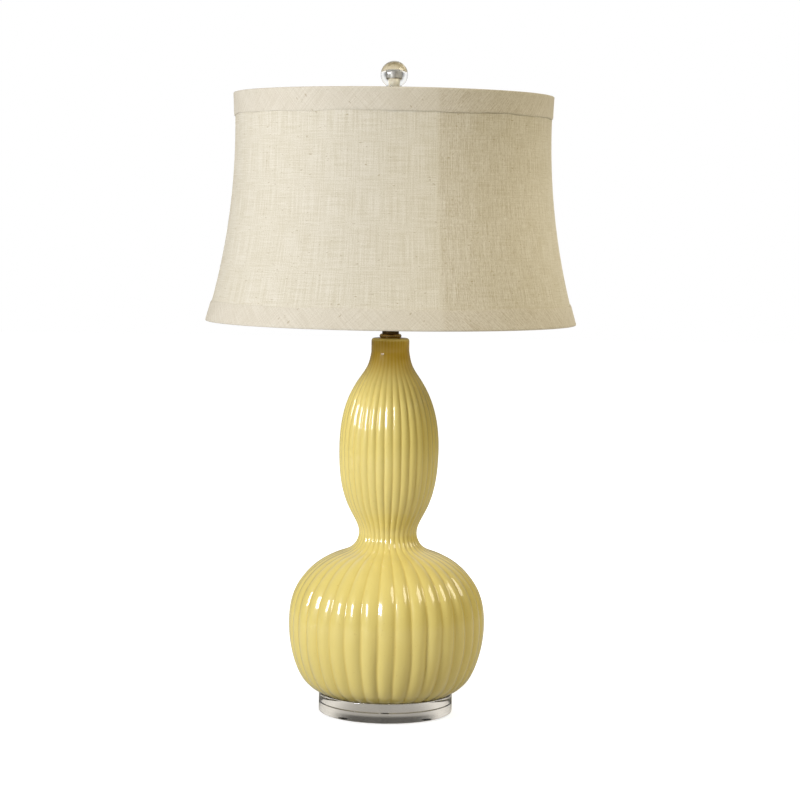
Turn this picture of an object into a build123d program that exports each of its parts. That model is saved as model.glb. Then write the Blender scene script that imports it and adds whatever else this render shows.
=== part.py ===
from build123d import *
import os
from math import atan2, cos, sin, sqrt

# A table lamp: a ribbed double gourd of glazed ceramic on a clear base, with a bell shade of linen
# carried by a harp over the bulb. Heights run up from the table top, the lamp's axis is Z, and the
# front of the lamp faces -Y. The harp stands in the XZ plane.

# Clearances
rod_clearance = 0.3  # radial, between the rod and a plain hole round it
thread_clearance = 0.05  # radial, between pieces that screw together or are pressed in
bearing_gap = 0.2  # between two bodies that bear on each other
running_gap = 0.3  # radial, between a piece that turns or slides and its guide
sheet_gap = 0.1  # between a wire of the shade's frame and the cloth stretched over it

# Clear base and its bumpers
base_diameter = 150.0
base_thickness = 22.0
base_edge_round = 1.0
base_tap_depth = 11.0  # blind hole in the top of the base that the rod screws into
bumper_diameter = 12.0
bumper_height = 1.5
bumper_round = 0.5
bumper_ring_diameter = 118.0  # of the ring that the bumpers stand on
bumper_count = 4

# Threaded rod through the whole lamp, with the nut and washer that clamp the gourd at its neck
rod_diameter = 9.8
rod_bore = 6.5
rod_end_gap = 0.5  # below the rod in its hole
nut_across_flats = 14.0
nut_height = 5.0
washer_diameter = 16.6
washer_thickness = 1.6

# Ceramic gourd: its outline runs over the rib crests, from foot to belly, waist, bulb and neck
foot_radius = 74.5
belly_radius = 109.9
belly_height = 74.0
waist_radius = 33.0
waist_height = 177.0
bulb_radius = 55.8
bulb_height = 264.0
neck_radius = 21.2
neck_height = 384.0
mouth_height = 14.0  # plain collar above the neck
lip_round = 3.2
rib_count = 36
rib_depth = 2.2  # groove depth at the belly, and in proportion to the radius elsewhere
rib_fade = 46.0  # length below the neck over which the grooves run out
body_wall = 6.0
floor_thickness = 9.0
crown_thickness = 9.0
foot_rim = 14.0
foot_recess = 2.0
floor_hole = 24.0
neck_hole = 15.0
station_count = 36  # sections of the loft, less one

# Cord bushing, low in the back of the gourd
cord_rise = 36.0  # along the wall, from the foot to the hole
cord_bore = 7.2
bushing_wall = 1.4
bushing_flange_diameter = 15.0
bushing_flange_thickness = 2.0
bushing_tail = 3.0  # barrel past the inside of the wall

# Brass at the neck
ring_diameter = 24.4
ring_height = 4.6
ring_spigot = 5.0
sleeve_diameter = 18.8
sleeve_height = 10.0
sleeve_wall = 0.8
sleeve_crown = 1.5

# Harp saddle, harp and the two ferrules that lock them together
saddle_width = 13.0
saddle_thickness = 2.0
saddle_flat = 28.0  # length of the level middle
harp_leg = 32.0  # from the lamp's axis to a leg
shoulder_rise = 14.0  # from the saddle's underside to the shoulder that a ferrule rests on
wire_diameter = 4.8
lap_start = 4.0  # from the shoulder up to the lap of saddle post and leg
lap_length = 10.0
ferrule_wall = 1.1
ferrule_length = 20.0
ferrule_bead = 0.6
ferrule_travel = 14.0
harp_rise = 243.3  # from the saddle's underside to the top of the harp's crown
harp_bulge = 57.0
leg_spare = 10.0  # leg above a raised ferrule, up to the knee
harp_bulge_rise = 109.0
harp_taper = 50.0
harp_taper_rise = 179.0
harp_top_half = 30.0
harp_bends = (50.0, 80.0, 120.0, 22.0)  # bend radii from the knee up to the crown
crown_diameter = 18.0
crown_plate = 3.2
crown_proud = 0.2  # plate above the top of the wire

# Stud on the crown
stud_diameter = 6.2
stud_length = 15.0
stud_flange_diameter = 16.0
stud_flange = 1.8
stud_shank_diameter = 6.8
stud_rivet_diameter = 9.5
stud_rivet = 2.0

# Lamp socket, heights from the saddle's top
cap_diameter = 34.8
cap_foot_diameter = 18.0
cap_height = 18.0
cap_bowl = 9.0
cap_wall = 0.9
cap_boss_diameter = 14.4
cap_boss_height = 10.0
shell_gap = 0.3  # radial, cap to shell
shell_wall = 0.6
shell_start = 10.5
shell_top = 62.0
shell_bead = 0.55
sleeve_gap = 0.2  # radial, shell to insulating sleeve
insulator_wall = 0.8
insulator_inset = 1.0  # sleeve short of the shell at either end
core_diameter = 26.8
core_height = 23.0
screw_bore = 27.0  # inside of the threaded lamp holder
screw_wall = 0.5
screw_height = 25.0
contact_hole = 12.0
contact_diameter = 7.0
contact_rise = 2.0
terminal_head = 5.0
terminal_head_height = 0.9
terminal_shank = 3.0
terminal_depth = 5.0

# Turn switch on the socket
switch_rise = 22.0
shaft_diameter = 3.2
shaft_inner = 4.0  # from the lamp's axis to the shaft's inner end
shaft_clearance = 0.08
slot_side = 0.8  # shell and sleeve slots, each side of the shaft
knob_start = 23.0  # from the lamp's axis
knob_length = 14.0
knob_diameter = 11.0
knob_socket = 11.0
knob_chamfer = 0.8
flute_count = 12
flute_diameter = 2.0
flute_depth = 0.6

# Light bulb, heights from its tip
bulb_length = 110.0
globe_diameter = 60.0
globe_neck_diameter = 24.6
globe_neck_top = 32.0
globe_start = 16.0
glass_wall = 1.0
tip_diameter = 6.4
tip_height = 1.4
button_height = 6.0
button_diameter = 19.0
screw_cap_diameter = 26.0
screw_cap_top = 26.0
screw_cap_wall = 0.4
thread_pitch = 3.6
thread_depth = 0.7
thread_turns = 4

# Finial
ball_diameter = 30.0
ball_rise = 29.7  # from the finial's foot to the middle of its ball
finial_foot_diameter = 21.0
finial_foot_edge = 2.0
finial_waist_diameter = 16.6
finial_waist_rise = 15.0
insert_head_diameter = 12.2
insert_head_height = 6.4
insert_shank_diameter = 9.0
insert_thread_depth = 18.0

# Bell shade: one arc from the mouth up past the throat to the top
shade_height = 250.8
shade_mouth_radius = 205.2
shade_throat_radius = 174.8
throat_drop = 42.0  # from the top down to the throat
shade_recess = 7.1  # from the top down to the hub of the spider
cover_thickness = 1.0
lining_thickness = 0.6
trim_thickness = 0.9
trim_gap = 0.2
top_trim_height = 24.5
bottom_trim_height = 22.0
trim_return = 9.0  # height of a trim's inner side
ring_wire = 3.2
strut_wire = 2.4
strut_count = 12
hub_diameter = 28.0
hub_hole = 11.0
hub_thickness = 1.4
arm_wire = 3.0
arm_count = 3
arm_start_angle = 30.0
arm_bend_inset = 15.0  # from the top ring in to the bend of an arm
arm_bend_radius = 8.0
arm_slot_side = 0.6

# Heights of the stack, worked up from the table
rod_radius = rod_diameter / 2
rod_hole_radius = rod_radius + rod_clearance
base_level = bumper_height
foot_level = base_level + base_thickness
body_height = neck_height + mouth_height
lip_level = foot_level + body_height
sleeve_level = lip_level + ring_height
saddle_level = sleeve_level + sleeve_height
socket_level = saddle_level + saddle_thickness
harp_top = saddle_level + harp_rise
hub_level = harp_top + stud_flange + bearing_gap
hub_top = hub_level + hub_thickness
finial_level = hub_top + bearing_gap
shade_top = hub_top + shade_recess
shade_bottom = shade_top - shade_height


def turned_ring(inner, outer, low, high):
    """Rectangle in a sketch of radius and height, for a ring turned about the lamp's axis."""
    with Locations(((inner + outer) / 2, (low + high) / 2)):
        Rectangle(outer - inner, high - low)


# Four clear bumpers under the base
with BuildPart() as base_bumpers:
    with BuildSketch(Plane.XY):
        with PolarLocations(bumper_ring_diameter / 2, bumper_count, start_angle=45):
            Circle(bumper_diameter / 2)
    extrude(amount=bumper_height)
    fillet(base_bumpers.edges().group_by(Axis.Z)[0], bumper_round)

# Clear disc with a blind hole in its top, tapped for the rod
with BuildPart() as acrylic_base:
    with BuildSketch(Plane.XY.offset(base_level)):
        Circle(base_diameter / 2)
    extrude(amount=base_thickness)
    fillet(acrylic_base.edges().filter_by(GeomType.CIRCLE), base_edge_round)
    with Locations((0, 0, foot_level)):
        Hole(rod_radius + thread_clearance, base_tap_depth)

# Hollow rod from the base up into the socket's cap
rod_level = foot_level - base_tap_depth + rod_end_gap

with BuildPart() as threaded_rod:
    with BuildSketch(Plane.XY.offset(rod_level)):
        Circle(rod_radius)
        Circle(rod_bore / 2, mode=Mode.SUBTRACT)
    extrude(amount=socket_level + cap_boss_height - rod_level)

# Gourd. The outline turns at the foot, belly, waist, bulb and neck, and the shares shape its swell
foot = (foot_radius, 0.0)
belly = (belly_radius, belly_height)
waist = (waist_radius, waist_height)
bulb = (bulb_radius, bulb_height)
neck = (neck_radius, neck_height)


def swell(start, end, shares):
    """Points from one turn of the outline to the next, by shares of the change in radius and height."""
    return [
        (start[0] + (end[0] - start[0]) * out, start[1] + (end[1] - start[1]) * up) for out, up in shares
    ]


foot_to_belly = swell(foot, belly, [(0.36, 0.11), (0.75, 0.40)])
belly_to_waist = swell(belly, waist, [(0.09, 0.40), (0.345, 0.65), (0.69, 0.80), (0.915, 0.88)])
waist_to_bulb = swell(waist, bulb, [(0.42, 0.31)])
bulb_to_neck = swell(bulb, neck, [(0.185, 0.48), (0.60, 0.73), (0.89, 0.865)])
outline_points = [foot, *foot_to_belly, belly, *belly_to_waist, waist, *waist_to_bulb, bulb, *bulb_to_neck, neck]
outline = Spline(*outline_points)


def groove_depth(point):
    """Depth of the grooves beside a point of the outline, fading out below the neck."""
    fade = min(1.0, (neck_height - point.Y) / rib_fade)
    return rib_depth * point.X / belly_radius * fade


def inside_wall(station):
    """Point of the cavity's wall behind a station of the outline."""
    point = outline @ station
    tangent = outline % station
    inward = Vector(-tangent.Y, tangent.X)
    return point + inward * (body_wall + groove_depth(point))


rib_pitch = 360 / rib_count
stations = [station / station_count for station in range(station_count + 1)]
cavity_wall = [inside_wall(station) for station in stations[::2]]
cavity_top = body_height - crown_thickness
cord_station = cord_rise / outline.length
cord_point = outline @ cord_station
cord_tangent = outline % cord_station
cord_plane = Plane(
    origin=(0, cord_point.X, foot_level + cord_point.Y),
    x_dir=(1, 0, 0),
    z_dir=(0, cord_tangent.Y, -cord_tangent.X),
)
bushing_radius = cord_bore / 2 + bushing_wall
bushing_length = body_wall + groove_depth(cord_point) + bushing_tail

with BuildPart() as ceramic_body:
    for station in stations:
        point = outline @ station
        with BuildSketch(Plane.XY.offset(foot_level + point.Y)):
            with BuildLine():
                crests = [Vector(point.X, 0).rotate(Axis.Z, rib * rib_pitch) for rib in range(rib_count)]
                grooves = [
                    Vector(point.X - groove_depth(point), 0).rotate(Axis.Z, (rib - 0.5) * rib_pitch)
                    for rib in range(rib_count)
                ]
                for rib in range(rib_count):
                    ThreePointArc(grooves[rib], crests[rib], grooves[(rib + 1) % rib_count])
            make_face()
    loft()
    with BuildSketch(Plane.XY.offset(foot_level + neck_height)):
        Circle(neck_radius)
    extrude(amount=mouth_height)
    fillet(ceramic_body.edges().group_by(Axis.Z)[-1], lip_round)
    with BuildSketch(Plane.XZ):
        with BuildLine():
            inner_wall = Spline(*[(point.X, foot_level + point.Y) for point in cavity_wall])
            inner_neck = Line(inner_wall @ 1, ((inner_wall @ 1).X, lip_level))
            Polyline(inner_wall @ 0, (0, (inner_wall @ 0).Y), (0, lip_level), inner_neck @ 1)
        make_face()
        with Locations((belly_radius / 2, foot_level + (floor_thickness + cavity_top) / 2)):
            Rectangle(belly_radius, cavity_top - floor_thickness, mode=Mode.INTERSECT)
    revolve(axis=Axis.Z, mode=Mode.SUBTRACT)
    with Locations((0, 0, lip_level)):
        Hole(neck_hole / 2, crown_thickness)
    with BuildSketch(Plane.XY.offset(foot_level)):
        Circle(foot_radius - foot_rim)
    extrude(amount=foot_recess, mode=Mode.SUBTRACT)
    with BuildSketch(Plane.XY.offset(foot_level)):
        Circle(floor_hole / 2)
    extrude(amount=floor_thickness, mode=Mode.SUBTRACT)
    with BuildSketch(cord_plane.offset(bushing_flange_thickness)):
        Circle(bushing_radius + rod_clearance)
    extrude(amount=-bushing_flange_thickness - bushing_length, mode=Mode.SUBTRACT)

# Flanged bushing that lines the cord's hole
with BuildPart() as cord_bushing:
    with BuildSketch(cord_plane):
        Circle(bushing_flange_diameter / 2)
    extrude(amount=bushing_flange_thickness)
    fillet(cord_bushing.edges().sort_by(Axis(cord_plane.origin, cord_plane.z_dir))[-1], bushing_flange_thickness / 2)
    with BuildSketch(cord_plane):
        Circle(bushing_radius)
    extrude(amount=-bushing_length)
    with BuildSketch(cord_plane.offset(bushing_flange_thickness)):
        Circle(cord_bore / 2)
    extrude(amount=-bushing_flange_thickness - bushing_length, mode=Mode.SUBTRACT)

# Check ring that seats in the gourd's mouth, with a rounded rim
with BuildPart() as check_ring:
    with BuildSketch(Plane.XZ):
        turned_ring(rod_hole_radius, ring_diameter / 2, lip_level, sleeve_level)
        turned_ring(rod_hole_radius, neck_hole / 2 - rod_clearance, lip_level - ring_spigot, lip_level)
    revolve(axis=Axis.Z)
    rim = check_ring.edges().filter_by(GeomType.CIRCLE).group_by(SortBy.RADIUS)[-1]
    fillet(rim, ring_height * 0.45)

# Washer and nut on the check ring that clamp the gourd between it and the base
nut_level = sleeve_level + washer_thickness

with BuildPart() as neck_washer:
    with BuildSketch(Plane.XY.offset(sleeve_level)):
        Circle(washer_diameter / 2)
        Circle(rod_hole_radius, mode=Mode.SUBTRACT)
    extrude(amount=washer_thickness)

with BuildPart() as neck_nut:
    with BuildSketch(Plane.XY.offset(nut_level)):
        RegularPolygon(nut_across_flats / 2, 6, major_radius=False)
        Circle(rod_radius + thread_clearance, mode=Mode.SUBTRACT)
    extrude(amount=nut_height)

# Sleeve that covers the nut, between the check ring and the saddle
sleeve_radius = sleeve_diameter / 2

with BuildPart() as neck_sleeve:
    with BuildSketch(Plane.XZ):
        turned_ring(sleeve_radius - sleeve_wall, sleeve_radius, sleeve_level, saddle_level)
        turned_ring(rod_hole_radius, sleeve_radius, saddle_level - sleeve_crown, saddle_level)
    revolve(axis=Axis.Z)
    top_edge = neck_sleeve.edges().filter_by(GeomType.CIRCLE).group_by(SortBy.RADIUS)[-1].sort_by(Axis.Z)[-1]
    fillet(top_edge, sleeve_wall)

# Saddle: a strip bent up at both ends, each with a post that is halved to lap the harp's leg
wire_radius = wire_diameter / 2
shoulder_level = saddle_level + shoulder_rise
lap_level = shoulder_level + lap_start
lap_top = lap_level + lap_length
bend_rise = shoulder_rise / 2
ferrule_level = shoulder_level + bearing_gap
knee_level = ferrule_level + ferrule_length + ferrule_travel + leg_spare

with BuildPart() as harp_saddle:
    with BuildSketch(Plane.XZ):
        with BuildLine():
            FilletPolyline(
                (-harp_leg, shoulder_level),
                (-harp_leg, saddle_level + bend_rise),
                (-saddle_flat / 2, saddle_level + saddle_thickness / 2),
                (saddle_flat / 2, saddle_level + saddle_thickness / 2),
                (harp_leg, saddle_level + bend_rise),
                (harp_leg, shoulder_level),
                radius=saddle_thickness * 1.5,
            )
        trace(line_width=saddle_thickness)
    extrude(amount=saddle_width / 2, both=True)
    with BuildSketch(Plane.XY.offset(shoulder_level - lap_start)):
        with Locations((-harp_leg, 0), (harp_leg, 0)):
            Circle(wire_radius)
    extrude(amount=lap_top - shoulder_level + lap_start)
    with BuildSketch(Plane.XZ):
        with Locations((0, (lap_level + lap_top) / 2)):
            Rectangle(harp_leg * 2, lap_length)
    extrude(amount=wire_diameter, both=True, mode=Mode.SUBTRACT)
    with Locations((0, 0, socket_level)):
        Hole(rod_hole_radius)

# Harp: one wire, halved at its feet, with a flat crown plate for the stud
harp_axis_top = harp_top - crown_proud - wire_radius
half_harp = [
    (harp_leg, lap_level + thread_clearance),
    (harp_leg, knee_level),
    (harp_bulge, saddle_level + harp_bulge_rise),
    (harp_taper, saddle_level + harp_taper_rise),
    (harp_top_half, harp_axis_top),
]
harp_route = [(-x, z) for x, z in half_harp] + half_harp[::-1]

with BuildPart() as harp_wire:
    with BuildLine(Plane.XZ):
        FilletPolyline(*harp_route, radius=[*harp_bends, *harp_bends[::-1]])
    with BuildSketch(Plane.XY.offset(lap_level + thread_clearance)):
        with Locations((-harp_leg, 0)):
            Circle(wire_radius)
    sweep()
    with BuildSketch(Plane.XZ):
        for side in (-1, 1):
            with Locations((side * (harp_leg + wire_radius - thread_clearance), (lap_level + lap_top) / 2)):
                Rectangle(wire_diameter, lap_length + 2 * thread_clearance)
    extrude(amount=wire_diameter, both=True, mode=Mode.SUBTRACT)
    with BuildSketch(Plane.XY.offset(harp_top - crown_plate)):
        Circle(crown_diameter / 2)
    extrude(amount=crown_plate)
    with Locations((0, 0, harp_top)):
        Hole(stud_shank_diameter / 2 + thread_clearance)
    with BuildSketch(Plane.XY.offset(harp_top - crown_plate)):
        Circle(stud_rivet_diameter / 2 + thread_clearance)
    extrude(amount=-wire_diameter, mode=Mode.SUBTRACT)

# Stud riveted through the crown, with the flange that carries the shade
with BuildPart() as harp_stud:
    with BuildSketch(Plane.XZ):
        turned_ring(0, stud_rivet_diameter / 2, harp_top - crown_plate - stud_rivet, harp_top - crown_plate)
        turned_ring(0, stud_shank_diameter / 2, harp_top - crown_plate, harp_top)
        turned_ring(0, stud_flange_diameter / 2, harp_top, harp_top + stud_flange)
        turned_ring(0, stud_diameter / 2, harp_top + stud_flange, harp_top + stud_flange + stud_length)
    revolve(axis=Axis.Z)
    chamfer(harp_stud.edges().sort_by(Axis.Z)[-1], stud_diameter / 10)

# Ferrules that slide down over the laps
ferrule_inner = wire_radius + running_gap
ferrule_outer = ferrule_inner + ferrule_wall


def ferrule_section(leg):
    """Tube with a rolled bead at its lower end, as half a section beside its leg's own axis."""
    bead_outer = ferrule_outer + ferrule_bead
    with Locations((leg + (ferrule_inner + ferrule_outer) / 2, ferrule_level + ferrule_length / 2)):
        Rectangle(ferrule_wall, ferrule_length)
    with Locations((leg + (ferrule_inner + bead_outer) / 2, ferrule_level + ferrule_bead)):
        Rectangle(bead_outer - ferrule_inner, 2 * ferrule_bead)


with BuildPart() as ferrule_left:
    with BuildSketch(Plane.XZ):
        ferrule_section(-harp_leg)
    revolve(axis=Axis((-harp_leg, 0, 0), (0, 0, 1)))

with BuildPart() as ferrule_right:
    with BuildSketch(Plane.XZ):
        ferrule_section(harp_leg)
    revolve(axis=Axis((harp_leg, 0, 0), (0, 0, 1)))

# Socket cap: a drawn bowl with a threaded boss that screws down onto the rod
cap_outer = cap_diameter / 2
cap_inner = cap_outer - cap_wall
cap_foot = cap_foot_diameter / 2
cap_floor = socket_level + cap_wall
bowl_level = socket_level + cap_bowl
cap_rim = socket_level + cap_height
boss_top = socket_level + cap_boss_height
rod_thread = rod_radius + thread_clearance

with BuildPart() as socket_cap:
    with BuildSketch(Plane.XZ):
        with BuildLine():
            outside = Bezier((cap_foot, socket_level), (cap_outer, socket_level), (cap_outer, bowl_level))
            inside = Bezier((cap_inner, bowl_level), (cap_inner, cap_floor), (cap_foot, cap_floor))
            Polyline(outside @ 1, (cap_outer, cap_rim), (cap_inner, cap_rim), inside @ 0)
            Polyline(inside @ 1, (rod_thread, cap_floor), (rod_thread, socket_level), outside @ 0)
        make_face()
        turned_ring(rod_thread, cap_boss_diameter / 2, socket_level, boss_top)
    revolve(axis=Axis.Z)

# Brass shell in the cap, over a paper sleeve. Both are slotted to pass the switch's shaft
shell_outer = cap_inner - shell_gap
shell_inner = shell_outer - shell_wall
insulator_outer = shell_inner - sleeve_gap
insulator_inner = insulator_outer - insulator_wall
shell_bottom_level = socket_level + shell_start
shell_top_level = socket_level + shell_top
switch_level = socket_level + switch_rise
shaft_radius = shaft_diameter / 2


def shaft_slot():
    """Slot up to the switch's shaft, open at the lower end of a tube."""
    with Locations((0, switch_level)):
        Circle(shaft_radius + slot_side)
    with Locations((0, (socket_level + switch_level) / 2)):
        Rectangle(shaft_diameter + 2 * slot_side, switch_level - socket_level)


with BuildPart() as socket_shell:
    with BuildSketch(Plane.XZ):
        turned_ring(shell_inner, shell_outer, shell_bottom_level, shell_top_level)
        with Locations((shell_outer, cap_rim + 2 * shell_bead)):
            Circle(shell_bead)
    revolve(axis=Axis.Z)
    with BuildSketch(Plane.XZ):
        shaft_slot()
    extrude(amount=cap_outer, mode=Mode.SUBTRACT)

with BuildPart() as socket_insulator:
    with BuildSketch(Plane.XZ):
        insulator_bottom = shell_bottom_level + insulator_inset
        turned_ring(insulator_inner, insulator_outer, insulator_bottom, shell_top_level - insulator_inset)
    revolve(axis=Axis.Z)
    with BuildSketch(Plane.XZ):
        shaft_slot()
    extrude(amount=cap_outer, mode=Mode.SUBTRACT)

# Moulded core that holds the switch, bored for its shaft and for two terminal screws
core_radius = core_diameter / 2
core_top = boss_top + core_height

with BuildPart() as socket_core:
    with BuildSketch(Plane.XY.offset(boss_top)):
        Circle(core_radius)
    extrude(amount=core_height)
    with BuildSketch(Plane.XZ.offset(shaft_inner)):
        with Locations((0, switch_level)):
            Circle(shaft_radius + shaft_clearance)
    extrude(amount=core_radius, mode=Mode.SUBTRACT)
    with BuildSketch(Plane.YZ.offset(core_radius - terminal_depth)):
        with Locations((0, switch_level)):
            Circle(terminal_shank / 2 + thread_clearance)
    extrude(amount=terminal_depth, mode=Mode.SUBTRACT)
    with BuildSketch(Plane.YZ.offset(terminal_depth - core_radius)):
        with Locations((0, switch_level)):
            Circle(terminal_shank / 2 + thread_clearance)
    extrude(amount=-terminal_depth, mode=Mode.SUBTRACT)

with BuildPart() as terminal_screw:
    with BuildSketch(Plane.YZ.offset(core_radius)):
        with Locations((0, switch_level)):
            Circle(terminal_head / 2)
    extrude(amount=terminal_head_height)
    with BuildSketch(Plane.YZ.offset(core_radius)):
        with Locations((0, switch_level)):
            Circle(terminal_shank / 2)
    extrude(amount=thread_clearance - terminal_depth)

with BuildPart() as terminal_screws:
    with PolarLocations(0, 2):
        add(terminal_screw.part)

# Threaded lamp holder on the core, open in its floor for the centre contact
holder_inner = screw_bore / 2
holder_floor = core_top + screw_wall

with BuildPart() as lamp_holder:
    with BuildSketch(Plane.XZ):
        turned_ring(holder_inner, holder_inner + screw_wall, core_top, core_top + screw_height)
        turned_ring(contact_hole / 2, holder_inner + screw_wall, core_top, holder_floor)
    revolve(axis=Axis.Z)

with BuildPart() as centre_contact:
    with BuildSketch(Plane.XY.offset(core_top)):
        Circle(contact_diameter / 2)
    extrude(amount=screw_wall + contact_rise)
    fillet(centre_contact.edges().group_by(Axis.Z)[-1], contact_rise / 3)

# Switch: a shaft out of the core with a fluted knob pressed on its end
shaft_end = knob_start + knob_socket - thread_clearance
knob_radius = knob_diameter / 2

with BuildPart() as switch_shaft:
    with BuildSketch(Plane.XZ.offset(shaft_inner + bearing_gap)):
        with Locations((0, switch_level)):
            Circle(shaft_radius)
    extrude(amount=shaft_end - shaft_inner - bearing_gap)

with BuildPart() as switch_knob:
    with BuildSketch(Plane.XZ.offset(knob_start)):
        with Locations((0, switch_level)):
            Circle(knob_radius)
    extrude(amount=knob_length)
    chamfer(switch_knob.edges().sort_by(Axis.Y)[0], knob_chamfer)
    with BuildSketch(Plane.XZ.offset(knob_start)):
        with Locations((0, switch_level)):
            with PolarLocations(knob_radius + flute_diameter / 2 - flute_depth, flute_count):
                Circle(flute_diameter / 2)
    extrude(amount=knob_length, mode=Mode.SUBTRACT)
    with BuildSketch(Plane.XZ.offset(knob_start)):
        with Locations((0, switch_level)):
            Circle(shaft_radius + thread_clearance)
    extrude(amount=knob_socket, mode=Mode.SUBTRACT)

# Light bulb: solder tip, black glass button, threaded cap and frosted globe
tip_level = holder_floor + contact_rise + running_gap
button_level = tip_level + tip_height
cap_bottom = tip_level + button_height
cap_top = tip_level + screw_cap_top
crest_radius = screw_cap_diameter / 2
root_radius = crest_radius - thread_depth
can_radius = root_radius - screw_cap_wall
button_radius = button_diameter / 2
tip_radius = tip_diameter / 2
globe_neck = globe_neck_diameter / 2
thread_start = cap_bottom + thread_pitch / 3
thread_end = thread_start + thread_turns * thread_pitch

with BuildPart() as bulb_contact:
    with BuildSketch(Plane.XY.offset(tip_level)):
        Circle(tip_radius)
    extrude(amount=tip_height)
    fillet(bulb_contact.edges().group_by(Axis.Z)[0], tip_height / 2)

with BuildPart() as bulb_button:
    with BuildSketch(Plane.XY.offset(button_level)):
        Circle(tip_radius)
    with BuildSketch(Plane.XY.offset(cap_bottom)):
        Circle(button_radius)
    loft()

with BuildPart() as bulb_cap:
    with BuildSketch(Plane.XZ):
        with BuildLine():
            Polyline((0, cap_bottom), (button_radius, cap_bottom), (crest_radius, thread_start))
            for turn in range(thread_turns):
                low = thread_start + turn * thread_pitch
                ThreePointArc(
                    (crest_radius, low),
                    (root_radius, low + thread_pitch / 2),
                    (crest_radius, low + thread_pitch),
                )
            Polyline(
                (crest_radius, thread_end),
                (crest_radius, cap_top),
                (globe_neck + thread_clearance, cap_top),
                (globe_neck + thread_clearance, thread_end),
                (can_radius, thread_end),
                (can_radius, thread_start),
                (button_radius - screw_cap_wall, cap_bottom + screw_cap_wall),
                (0, cap_bottom + screw_cap_wall),
                (0, cap_bottom),
            )
        make_face()
    revolve(axis=Axis.Z)

globe_radius = globe_diameter / 2
globe_low = thread_end + thread_clearance
neck_top = tip_level + globe_neck_top
globe_middle = tip_level + bulb_length - globe_radius
flare_rise = (globe_middle - neck_top) / 2


def globe_side(inset):
    """One side of the globe's glass: neck, flare and dome, ending on the axis."""
    neck_radius_here = globe_neck - inset
    widest = globe_radius - inset
    Line((neck_radius_here, globe_low), (neck_radius_here, neck_top))
    Bezier(
        (neck_radius_here, neck_top),
        (neck_radius_here, neck_top + flare_rise),
        (widest, globe_middle - flare_rise),
        (widest, globe_middle),
    )
    CenterArc((0, globe_middle), widest, 0, 90)


with BuildPart() as bulb_globe:
    with BuildSketch(Plane.XZ):
        with BuildLine():
            globe_side(0)
            globe_side(glass_wall)
            Line((globe_neck - glass_wall, globe_low), (globe_neck, globe_low))
            Line((0, globe_middle + globe_radius - glass_wall), (0, globe_middle + globe_radius))
        make_face()
    revolve(axis=Axis.Z)

# Finial: a clear ball on a flared foot, moulded round a threaded metal insert
ball_radius = ball_diameter / 2
ball_level = finial_level + ball_rise
head_bottom = ball_level - insert_head_height / 2
head_top = ball_level + insert_head_height / 2
head_radius = insert_head_diameter / 2
insert_shank = insert_shank_diameter / 2
finial_waist = finial_waist_diameter / 2
finial_foot = finial_foot_diameter / 2
waist_level = finial_level + finial_waist_rise
edge_level = finial_level + finial_foot_edge

with BuildPart() as finial_ball:
    with BuildSketch(Plane.XZ):
        with BuildLine():
            flare = Bezier((finial_foot, edge_level), (finial_waist, edge_level), (finial_waist, waist_level))
            Polyline(flare @ 1, (finial_waist, ball_level), (0, ball_level))
            Polyline((0, ball_level), (0, finial_level), (finial_foot, finial_level), flare @ 0)
        make_face()
    revolve(axis=Axis.Z)
    with Locations((0, 0, ball_level)):
        Sphere(ball_radius)
    with BuildSketch(Plane.XZ):
        turned_ring(0, insert_shank + thread_clearance, finial_level, ball_level)
        turned_ring(
            0, head_radius + thread_clearance, head_bottom - thread_clearance, head_top + thread_clearance
        )
    revolve(axis=Axis.Z, mode=Mode.SUBTRACT)

with BuildPart() as finial_insert:
    with BuildSketch(Plane.XZ):
        turned_ring(0, insert_shank, finial_level, head_bottom)
        turned_ring(0, head_radius, head_bottom, head_top)
    revolve(axis=Axis.Z)
    with BuildSketch(Plane.XY.offset(finial_level)):
        Circle(stud_diameter / 2 + shaft_clearance)
    extrude(amount=insert_thread_depth, mode=Mode.SUBTRACT)

# Shade. Its wall is an arc that stands upright at the throat and flares to the mouth
throat_level = shade_top - throat_drop
bell_rise = throat_level - shade_bottom
bell_flare = shade_mouth_radius - shade_throat_radius
bell_curve = (bell_rise**2 + bell_flare**2) / (2 * bell_flare)
ring_radius = ring_wire / 2
frame_inset = cover_thickness + sheet_gap + ring_radius
lining_inset = frame_inset + ring_radius + sheet_gap
lining_back = lining_inset + lining_thickness
cloth_low = shade_bottom + trim_thickness + trim_gap
cloth_high = shade_top - trim_thickness - trim_gap
bottom_ring_level = cloth_low + ring_radius
top_ring_level = cloth_high - ring_radius


def bell_radius(level):
    """Outer radius of the shade's cover at a height."""
    return shade_throat_radius + bell_curve - sqrt(bell_curve**2 - (level - throat_level) ** 2)


def bell_arc(inset, low, high):
    """Stretch of the bell's arc, drawn in from the face of the cover."""
    levels = (low, (low + high) / 2, high)
    return ThreePointArc(*[(bell_radius(level) - inset, level) for level in levels])


def bell_band(outer_inset, inner_inset, low, high):
    """Closed section of a cloth band that follows the bell."""
    outside = bell_arc(outer_inset, low, high)
    inside = bell_arc(inner_inset, low, high)
    Line(outside @ 0, inside @ 0)
    Line(outside @ 1, inside @ 1)


with BuildPart() as shade_cover:
    with BuildSketch(Plane.XZ):
        with BuildLine():
            bell_band(0, cover_thickness, cloth_low, cloth_high)
        make_face()
    revolve(axis=Axis.Z)

top_ring_radius = bell_radius(top_ring_level) - frame_inset
bottom_ring_radius = bell_radius(bottom_ring_level) - frame_inset

with BuildPart() as top_ring:
    with Locations((0, 0, top_ring_level)):
        Torus(top_ring_radius, ring_radius)

with BuildPart() as bottom_ring:
    with Locations((0, 0, bottom_ring_level)):
        Torus(bottom_ring_radius, ring_radius)

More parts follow.
